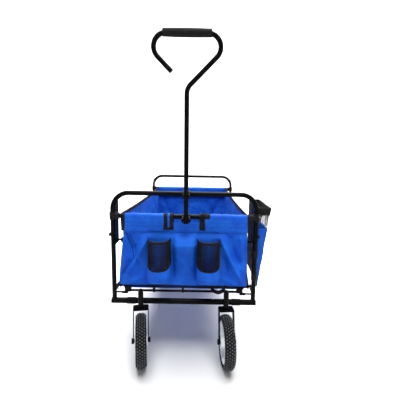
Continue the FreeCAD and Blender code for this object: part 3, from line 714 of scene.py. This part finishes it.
def floor_place(u, v):
    x = FLOOR_LOW.x + (FLOOR_HIGH.x - FLOOR_LOW.x) * u
    y = FLOOR_LOW.y - FLOOR_TURN_UP + (FLOOR_HIGH.y - FLOOR_LOW.y + 2 * FLOOR_TURN_UP) * v
    edge = min(u, 1 - u, v, 1 - v)
    lift = ripple(Vector((x, y, 0)), 9, 1.0 * MM, 6) * smoothstep(0, 0.1, edge)
    return Vector((x, y, (FLOOR_LOW.z + FLOOR_HIGH.z) / 2 + min(lift, 0.4 * MM)))


def make_floor():
    cloth = cloth_grid("floor_cloth", floor_place, 60, 120, BLUE, 1.2 * MM)
    fold_with_cart(cloth, "blue_fabric", "floor_fabric")


make_floor()


# The base board: padded panels side by side, and the share of their height that the shell fills.
PANELS = 4
PANEL_GAP = 2 * MM
PANEL_FILL = 0.55


def quilted_panel(name, low, high):
    """Cloth-covered stiff panel with rounded edges and sunken seams."""
    columns, rows = 44, 28
    size = high - low
    seam_in, seam_width, seam_depth = 14 * MM, 2.2 * MM, 1.3 * MM

    def top(u, v):
        x = low.x + size.x * u
        y = low.y + size.y * v
        edge = min(u * size.x, (1 - u) * size.x, v * size.y, (1 - v) * size.y)
        seam = seam_depth * math.exp(-((edge - seam_in) / seam_width) ** 2)
        crown = 1.6 * MM * smoothstep(0, 7 * MM, edge)
        wobble = ripple(Vector((x, y, 0)), 30, 0.5 * MM, 8) * smoothstep(0, 20 * MM, edge)
        return Vector((x, y, high.z - 1.8 * MM + crown - seam + wobble))

    points = [top(i / columns, j / rows) for i in range(columns + 1) for j in range(rows + 1)]
    panel = mesh_object(name, points, grid_faces(columns + 1, rows + 1), BLACK_CLOTH)
    return thicken(panel, PANEL_FILL * size.z, -1.0)


def make_board():
    pitch = (BOARD_HIGH.y - BOARD_LOW.y) / PANELS
    for index in range(PANELS):
        start = BOARD_LOW.y + index * pitch
        low = Vector((BOARD_LOW.x, start + PANEL_GAP / 2, BOARD_LOW.z))
        high = Vector((BOARD_HIGH.x, start + pitch - PANEL_GAP / 2, BOARD_HIGH.z))
        panel = quilted_panel(f"base_panel_{index + 1}", low, high)
        replaced = ["floor_board"] if index == 0 else []
        fold_with_cart(panel, "base_board", *replaced)


make_board()


# ---- cup holders ---------------------------------------------------------------
# Share of the holder's height that its rounded bottom takes up, and how far it hangs below
# its CAD piece.
CUP_ROUND = 0.20
CUP_DROP = 10 * MM
# Width of the holder's upper part and of its bottom edge, as shares of the CAD piece, and how
# much wider it swells in between.
CUP_TOP, CUP_FOOT, CUP_SWELL = 0.955, 0.86, 0.085
# Height shares of the seam between blue pouch and net at the sides, its dip in front, and the rim.
SEAM_AT_SIDES, SEAM_DIP, CUP_RIM = 0.50, 0.13, 0.985


def cup_place(low, high, turn, height, grow=0.0):
    """Pouch surface: turn 0..1 from the left edge round the front, height 0..1 from bottom to top."""
    middle = (low.x + high.x) / 2
    half = (high.x - low.x) / 2 - 2 * MM + grow
    depth = (high.y - low.y) - 4 * MM + grow
    angle = math.pi * turn
    # The bottom is a quarter ellipse, and the pouch is widest a little above it.
    rise = min(height / CUP_ROUND, 1.0)
    belly = math.sqrt(1 - (1 - rise) ** 2)
    swell = CUP_TOP + CUP_SWELL * math.exp(-((height - 0.22) / 0.17) ** 2)
    # Exponents below 1 square the round plan up a little, as a full pouch does.
    sideways = math.copysign(abs(math.cos(angle)) ** 0.8, math.cos(angle))
    x = middle - half * (CUP_FOOT + (1 - CUP_FOOT) * belly) * swell * sideways
    out = depth * belly * swell * math.sin(angle) ** 0.62
    # Small pleats near the bottom seam, with a finer crinkle over all of it.
    pleats = 0.9 * MM * math.sin(11 * angle + 9 * low.x) * math.exp(-((height - 0.15) / 0.2) ** 2)
    crinkle = ripple(Vector((turn * 0.2, low.x, height * 0.16)), 40, 2.2 * MM, low.x * 10) + pleats
    crinkle *= math.sin(angle)
    z = low.z - CUP_DROP + (high.z - low.z + CUP_DROP) * height
    z -= 4 * MM * math.sin(angle) * smoothstep(0.6, 1.0, height)
    return Vector((x, high.y - 1.5 * MM - out + crinkle, z))


def band_edge(turn):
    """Height share of the line where the net band meets the blue pouch."""
    return SEAM_AT_SIDES - SEAM_DIP * math.sin(math.pi * turn) ** 0.7


def net_band(name, low, high):
    """Open net of crossed strands between the blue pouch and the top tape."""
    columns, rows = 46, 22

    def place(i, j):
        turn = i / columns
        start = band_edge(turn) - 0.01
        return cup_place(low, high, turn, start + (CUP_RIM - start) * j / rows)

    points = [place(i, j) for i in range(columns + 1) for j in range(rows + 1)]
    net = mesh_object(name, points, grid_faces(columns + 1, rows + 1), NET)
    finish_piece(strands(net, 2.1 * MM), "front_frame", "black_mesh")


def blue_pouch(name, low, high, node):
    """The closed lower part of a cup holder."""
    def place(u, v):
        return cup_place(low, high, u, band_edge(u) * v)

    pouch = cloth_grid(name, place, 60, 30, BLUE)
    finish_piece(pouch, "front_frame", "blue_fabric", node)


def cup_tape(name, low, high, height_at, width, thickness, grow):
    """Tape round the front of a cup holder, at the height share height_at(turn)."""
    line = [cup_place(low, high, k / 60, height_at(k / 60), grow) for k in range(61)]
    tape = ribbon(name, line, UP, width, thickness, BLACK_CLOTH)
    finish_piece(tape, "front_frame", "black_webbing")


def make_cup(side):
    low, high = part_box(f"cup_holder_{side}")
    blue_pouch(f"cup_pouch_{side}", low, high, f"cup_holder_{side}")
    net_band(f"cup_net_{side}", low, high)
    cup_tape(f"cup_rim_tape_{side}", low, high, lambda turn: CUP_RIM, 11 * MM, 2.4 * MM, 0.4 * MM)
    cup_tape(f"cup_seam_tape_{side}", low, high, band_edge, 5 * MM, 1.8 * MM, 0.5 * MM)


make_cup("left")
make_cup("right")


# ---- webbing loops on the front hem --------------------------------------------
def hem_strap(name, x, width, end_z):
    """Strap that comes up behind the rail, over it and down the front of the hem."""
    radius = SLEEVE_R + 1.6 * MM
    line = over_front_rail(x, radius, 26 * MM)
    for k in range(1, 9):
        t = k / 8
        y = FRONT_Y - radius * (1 - 0.25 * t)
        line.append(Vector((x, y, RAIL_Z + (end_z - RAIL_Z) * t)))
    strap = ribbon(name, line, ACROSS, width, WEBBING, STRAPPING)
    return finish_piece(strap, "front_frame", "black_webbing")


# Straps as (name, middle x, width, drop below the rail) in mm.
HEM_STRAPS = (
    ("hem_loop_left_outer", -63, 13, 41),
    ("hem_loop_left_inner", -43, 13, 41),
    ("hem_loop_right_wide", 69, 34, 8),
    ("hem_loop_right_tail", 60, 19, 44),
)
# The strap across the lower ends of the left pair.
FOOT_START, FOOT_LENGTH, FOOT_DROP = -70 * MM, 34 * MM, 40 * MM


def make_hem_loops():
    straps = [hem_strap(name, middle * MM, width * MM, RAIL_Z - drop * MM)
              for name, middle, width, drop in HEM_STRAPS]
    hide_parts("webbing_loops")
    y = FRONT_Y - SLEEVE_R + 1 * MM
    foot = [Vector((FOOT_START + FOOT_LENGTH * k / 8, y, RAIL_Z - FOOT_DROP)) for k in range(9)]
    bar = ribbon("hem_loop_left_foot", foot, UP, 9 * MM, WEBBING, STRAPPING)
    finish_piece(bar, "front_frame", "black_webbing")


make_hem_loops()


# The two loops round the thin bar: x of their middles, width, and how much taller than the bar.
TIE_LOOPS = (-103 * MM, -3 * MM)
TIE_WIDTH = 7 * MM
TIE_STRETCH = 2.4


def tie_loop(index, x):
    """Webbing loop that ties the wall's lower edge to the thin bar."""
    middle = Vector((x, (TIE_LOW.y + TIE_HIGH.y) / 2, TIE_BAR_Z))
    reach = (TIE_HIGH.y - TIE_LOW.y) / 2 + 1.2 * MM
    line = []
    for k in range(25):
        angle = 2 * math.pi * k / 24
        stretch = TIE_STRETCH if math.cos(angle) > 0 else 1.0
        line.append(middle + Vector((0, reach * math.sin(angle), reach * stretch * math.cos(angle))))
    loop = ribbon(f"tie_loop_{index}", line, ACROSS, TIE_WIDTH, WEBBING, STRAPPING)
    finish_piece(loop, "front_frame", "black_webbing")


def pull_strap():
    """Short slack strap sewn under the front edge."""
    start, end, sag = 94 * MM, 143 * MM, 13 * MM
    line = []
    for k in range(25):
        t = k / 24
        z = WALL_LOW.z - 1 * MM - sag * math.sin(math.pi * t)
        line.append(Vector((start + (end - start) * t, TIE_LOW.y - 3 * MM, z)))
    strap = ribbon("pull_strap", line, Vector((0, 1, 0.6)), 16 * MM, 2 * MM, STRAPPING)
    finish_piece(strap, "front_frame", "black_webbing")


for loop_index, loop_x in enumerate(TIE_LOOPS):
    tie_loop(loop_index + 1, loop_x)
pull_strap()


# ---- side pocket ---------------------------------------------------------------
# Share of the way round the pocket at which its front end turns into its outside.
POCKET_CORNER = 0.16
# Lower edges of the net and of the rim tape.
NET_LOW_Z = POCKET_HIGH.z - 74 * MM
RIM_TAPE_Z = POCKET_HIGH.z - 28 * MM
# Width of the two straps, and how far behind the leg they start.
STRAP_WIDTH, STRAP_REACH = 25 * MM, 44 * MM


def pocket_outer_x(z):
    share = (z - POCKET_LOW.z) / (POCKET_HIGH.z - POCKET_LOW.z)
    return POCKET_LOW.x + 5 * MM + (POCKET_HIGH.x - POCKET_LOW.x - 6 * MM) * share


def pocket_bottom_z(y):
    """Lower edge: a shallow point under the front corner."""
    share = (y - POCKET_LOW.y) / (POCKET_HIGH.y - POCKET_LOW.y)
    return POCKET_LOW.z + 10 * MM * smoothstep(0, 0.5, share)


def pocket_path(turn):
    """Plan of the pocket: out along the front end, back along the outside, in at the rear.
    Returns (share of the way out, y)."""
    front, rear = POCKET_CORNER, 1 - POCKET_CORNER
    y0, y1 = POCKET_LOW.y + 2 * MM, POCKET_HIGH.y - 2 * MM
    if turn < front:
        return turn / front, y0
    if turn > rear:
        return (1 - turn) / (1 - rear), y1
    return 1.0, y0 + (y1 - y0) * (turn - front) / (rear - front)


def pocket_place(turn, z):
    out, y = pocket_path(turn)
    x = POCKET_LOW.x + 1.5 * MM + (pocket_outer_x(z) - POCKET_LOW.x - 3 * MM) * out
    slack = ripple(Vector((0, y, z)), 18, 2.0 * MM, 2.0) * out
    return Vector((x + min(slack, 1.0 * MM), y, z))


def make_pocket_cloth():
    """The blue part, from the pocket's lower edge up to the net."""
    def place(u, v):
        bottom = pocket_bottom_z(pocket_path(u)[1])
        return pocket_place(u, bottom + (NET_LOW_Z - bottom) * v)

    cloth = cloth_grid("pocket_cloth", place, 120, 50, BLUE)
    finish_piece(cloth, "front_frame", "blue_fabric", "side_pocket")
    deep_bottom = pocket_outer_x(POCKET_LOW.z) - POCKET_LOW.x


def make_pocket_rim():
    """Wide tape round the pocket's mouth."""
    def place(u, v):
        return pocket_place(u, RIM_TAPE_Z + (POCKET_HIGH.z - 1 * MM - RIM_TAPE_Z) * v)

    tape = cloth_grid("pocket_rim_tape", place, 100, 6, BLACK_CLOTH, 2.6 * MM)
    finish_piece(tape, "front_frame", "black_webbing")


def make_pocket_net():
    """Net between the blue cloth and the rim tape, tucked 1 mm under each."""
    columns, rows = 110, 18
    bottom, top = NET_LOW_Z - 1 * MM, RIM_TAPE_Z + 1 * MM
    points = [pocket_place(i / columns, bottom + (top - bottom) * j / rows)
              for i in range(columns + 1) for j in range(rows + 1)]
    net = mesh_object("pocket_net", points, grid_faces(columns + 1, rows + 1), NET)
    finish_piece(strands(net, 0.56 * MM), "front_frame", "black_mesh")


def make_pocket_back_with_painted_shade():
    """Flat panel against the leg and the side wall, in black cloth; its darkness is partly the cloth's own and
    partly painted shade for the gap between the tub and the pocket.
    """
    def place(u, v):
        y = POCKET_LOW.y + 2 * MM + (POCKET_HIGH.y - POCKET_LOW.y - 4 * MM) * u
        bottom = pocket_bottom_z(y)
        return Vector((POCKET_LOW.x + 1.2 * MM, y, bottom + (POCKET_HIGH.z - 2 * MM - bottom) * v))

    panel = cloth_grid("pocket_back", place, 60, 60, BLACK_CLOTH)
    finish_piece(panel, "front_frame", "black_webbing")


def make_pocket_piping():
    """Piping down the seam at the pocket's front corner."""
    drop = pocket_bottom_z(POCKET_LOW.y) - NET_LOW_Z
    seam = [pocket_place(POCKET_CORNER, NET_LOW_Z + drop * k / 40) for k in range(41)]
    piping = round_piping("pocket_piping", seam, 1.6 * MM, BLACK_CLOTH)
    finish_piece(piping, "front_frame", "black_webbing")


def make_pocket_straps():
    """Two straps from the pocket's back round the right front leg."""
    low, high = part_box("pocket_straps")
    radius = RAIL_R + 1.3 * MM
    for index, base in enumerate((low.z, high.z - STRAP_WIDTH)):
        z = base + STRAP_WIDTH / 2
        line = [Vector((LEG_X + radius, FRONT_Y + STRAP_REACH * (1 - k / 8), z)) for k in range(9)]
        for k in range(1, 29):
            angle = 1.75 * math.pi * k / 28
            line.append(Vector((LEG_X + radius * math.cos(angle), FRONT_Y - radius * math.sin(angle), z)))
        strap = ribbon(f"pocket_strap_{index + 1}", line, UP, STRAP_WIDTH, WEBBING, STRAPPING)
        replaced = ["pocket_straps"] if index == 0 else []
        finish_piece(strap, "front_frame", "black_webbing", *replaced)


make_pocket_cloth()
make_pocket_rim()
make_pocket_net()
make_pocket_back_with_painted_shade()
make_pocket_piping()
make_pocket_straps()


# ---- grip ----------------------------------------------------------------------
GRIP_BORE_R = 7.6 * MM
# Radius near the ends as a share of the middle's, and the small lip at each end.
GRIP_ENDS = 0.90
GRIP_FLARE = 0.8 * MM


def make_grip():
    low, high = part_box("handle_grip")
    half = (high.x - low.x) / 2
    centre = (low + high) / 2
    radius = (high.z - low.z) / 2
    inner = GRIP_BORE_R
    outline = [(-half, inner)]
    for k in range(41):
        t = -1 + 2 * k / 40
        barrel = radius * (GRIP_ENDS + (1 - GRIP_ENDS) * (1 - abs(t) ** 2.5))
        flare = GRIP_FLARE * math.exp(-((1 - abs(t)) / 0.03) ** 2)
        outline.append((t * (half - 0.4 * MM), min(barrel + flare, radius)))
    outline.append((half, inner))
    grip = lathe("foam_grip", outline, centre, Matrix.Identity(3), 64, FOAM)
    finish_piece(grip, "handle", "grip_foam", "handle_grip")


make_grip()


# ---- tyres ---------------------------------------------------------------------
KNOBS_AROUND = 54
KNOB_ROWS = 5
KNOB_HEIGHT = 3 * MM
KNOB_SIZE = 3.4 * MM
TYRE_HALF_WIDTH = 18 * MM
TYRE_BEAD_R = 67.6 * MM
SHOULDER_DEPTH = 13 * MM
TREAD_FALL = 9 * MM


def wheel_turn(body_joint):
    """Rotation that takes the X axis to the wheel's axle direction."""
    axis = next(Vector(j["axis"]) for j in frame["joints"] if j["name"] == body_joint)
    return Vector((1, 0, 0)).rotation_difference(axis).to_matrix()


def tyre_section(radius, half, bead):
    """Carcass outline from bead to bead as (x, radius)."""
    side = [(half * 0.84, bead), (half * 0.96, bead + 4 * MM), (half * 0.985, radius - SHOULDER_DEPTH)]
    steps = 12
    crown = [(half * 0.96 * k / steps, tread_radius(half * k / steps, radius, half))
             for k in range(steps, 0, -1)]
    right = side + crown
    left = [(-x, r) for x, r in reversed(right)]
    return right + [(0, radius)] + left + [right[0]]


def tread_radius(x, radius, half):
    """Radius of the tread surface at x, falling off over the shoulders."""
    share = min(abs(x) / half, 1.0)
    return radius - TREAD_FALL * share ** 3.2


def knob(points, faces, angle, x, radius, half, size):
    """One diamond block of the tread, with sloped sides."""
    base = len(points)
    around = size / radius
    for share, depth in ((1.0, KNOB_HEIGHT + 1.2 * MM), (0.72, 0.0)):
        for da, dx in ((around, 0), (0, size), (-around, 0), (0, -size)):
            px = min(max(x + dx * share, -half * 0.99), half * 0.99)
            r = tread_radius(px, radius, half) - depth
            a = angle + da * share
            points.append(Vector((px, r * math.cos(a), r * math.sin(a))))
    faces.append((base + 4, base + 5, base + 6, base + 7))
    for c in range(4):
        d = (c + 1) % 4
        faces.append((base + c, base + d, base + 4 + d, base + 4 + c))


def make_tyre(node, joint, body):
    low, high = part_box(node)
    centre = (low + high) / 2
    radius = (high.z - low.z) / 2
    half = TYRE_HALF_WIDTH
    turn = wheel_turn(joint)
    carcass = lathe(node + "_carcass", tyre_section(radius - KNOB_HEIGHT, half, TYRE_BEAD_R),
                    centre, turn, 128, RUBBER)
    finish_piece(carcass, body, "tyre_rubber", node)
    points, faces = [], []
    pitch = 2 * math.pi / KNOBS_AROUND
    spacing = 2 * half / KNOB_ROWS
    for row in range(KNOB_ROWS + 1):
        x = -half + row * spacing
        for step in range(KNOBS_AROUND):
            knob(points, faces, (step + 0.5 * (row % 2)) * pitch, x, radius, half, KNOB_SIZE)
    # The knobs take the lighter tread rubber, whose grey is painted highlight.
    tread = mesh_object(node + "_tread", [turn @ p + centre for p in points], faces, TREAD_WITH_PAINTED_HIGHLIGHT, smooth=False)
    finish_piece(tread, body, "tyre_rubber")


WHEELS = (
    ("front_tyre_left", "front_wheel_left_spin", "front_wheel_left"),
    ("front_tyre_right", "front_wheel_right_spin", "front_wheel_right"),
    ("rear_tyre_left", "rear_wheel_left_spin", "rear_wheel_left"),
    ("rear_tyre_right", "rear_wheel_right_spin", "rear_wheel_right"),
)
for tyre_node, spin_joint, wheel_body in WHEELS:
    make_tyre(tyre_node, spin_joint, wheel_body)


# ---- finishes of the CAD pieces that show --------------------------------------
FINISHES = {
    "black_metal": COAT,
    "bright_steel": ZINC,
    "black_plastic": MOULDED,
    "grip_foam": FOAM,
    "tyre_rubber": RUBBER,
    "rim_plastic": PALE,
    "blue_fabric": BLUE,
    "black_webbing": STRAPPING,
    "black_mesh": NET,
    "base_board": BLACK_CLOTH,
}


def finish_cad_nodes():
    slots = {part["node"]: part["material_slot"] for part in frame["record"]["subparts"]}
    for name, node in frame["nodes"].items():
        material = FINISHES[slots[name]]
        node.data.materials.clear()
        node.data.materials.append(material)
        for polygon in node.data.polygons:
            polygon.material_index = 0


finish_cad_nodes()


# ---- floor, light and camera ---------------------------------------------------
STAGE_RADIUS = 3.6
STAGE_BEND = 1.6
STAGE_HEIGHT = 7.0
STAGE_SEGMENTS = 96
STAGE_GREY = 0.60
WORLD_STRENGTH = 0.08
# Area lights as (name, place, target, size in metres, power in watts).
LIGHTS = (
    ("key", (0.05, FRONT_Y - 0.55, 3.0), (0, FRONT_Y + 0.1, 0.35), 1.9, 134),
    ("fill", (1.9, FRONT_Y - 2.0, 1.2), (0, FRONT_Y + 0.2, 0.4), 1.4, 5),
    ("back", (0.3, REAR_Y + 1.0, 3.6), (0, REAR_Y + 2.4, 0.4), 3.2, 620),
)
CAMERA_PLACE = (0.051, FRONT_Y - 0.992, 0.709)
CAMERA_DOWN_DEG = 8.2
CAMERA_ROLL_DEG = 1.0
CAMERA_LENS_MM = 27.0


def make_stage():
    """Round pale floor that curves up into a wall on every side."""
    profile = [(0.0, 0.0)]
    for k in range(25):
        angle = math.pi / 2 * k / 24
        profile.append((STAGE_RADIUS + STAGE_BEND * math.sin(angle), STAGE_BEND * (1 - math.cos(angle))))
    profile.append((STAGE_RADIUS + STAGE_BEND, STAGE_HEIGHT))
    points = []
    for k in range(STAGE_SEGMENTS + 1):
        angle = 2 * math.pi * k / STAGE_SEGMENTS
        points += [(r * math.cos(angle), r * math.sin(angle), z) for r, z in profile]
    material, shader = new_material("studio_floor", grey(STAGE_GREY), 0.95)
    shader.inputs["Specular IOR Level"].default_value = 0.0
    floor = mesh_object("studio_floor", points, grid_faces(STAGE_SEGMENTS + 1, len(profile)), material)


def make_world():
    world = bpy.data.worlds.new("studio")
    world.use_nodes = True
    background = world.node_tree.nodes["Background"]
    background.inputs["Color"].default_value = (1, 1, 1, 1)
    background.inputs["Strength"].default_value = WORLD_STRENGTH
    bpy.context.scene.world = world


def area_light(name, place, target, size, power):
    data = bpy.data.lights.new(name, "AREA")
    data.size = size
    data.energy = power
    light = bpy.data.objects.new(name, data)
    light.location = place
    light.rotation_euler = (Vector(target) - Vector(place)).to_track_quat("-Z", "Y").to_euler()
    bpy.context.scene.collection.objects.link(light)


def make_camera():
    data = bpy.data.cameras.new("camera")
    data.lens = CAMERA_LENS_MM
    data.sensor_width = 36.0
    camera = bpy.data.objects.new("camera", data)
    camera.location = CAMERA_PLACE
    pitch = Matrix.Rotation(math.radians(90 - CAMERA_DOWN_DEG), 3, "X")
    roll = Matrix.Rotation(math.radians(CAMERA_ROLL_DEG), 3, "Z")
    camera.rotation_euler = (pitch @ roll).to_euler()
    bpy.context.scene.collection.objects.link(camera)
    bpy.context.scene.camera = camera


make_stage()
make_world()
for light_name, light_place, light_target, light_size, light_power in LIGHTS:
    area_light(light_name, light_place, light_target, light_size, light_power)
make_camera()
bpy.context.scene.view_settings.view_transform = "Standard"
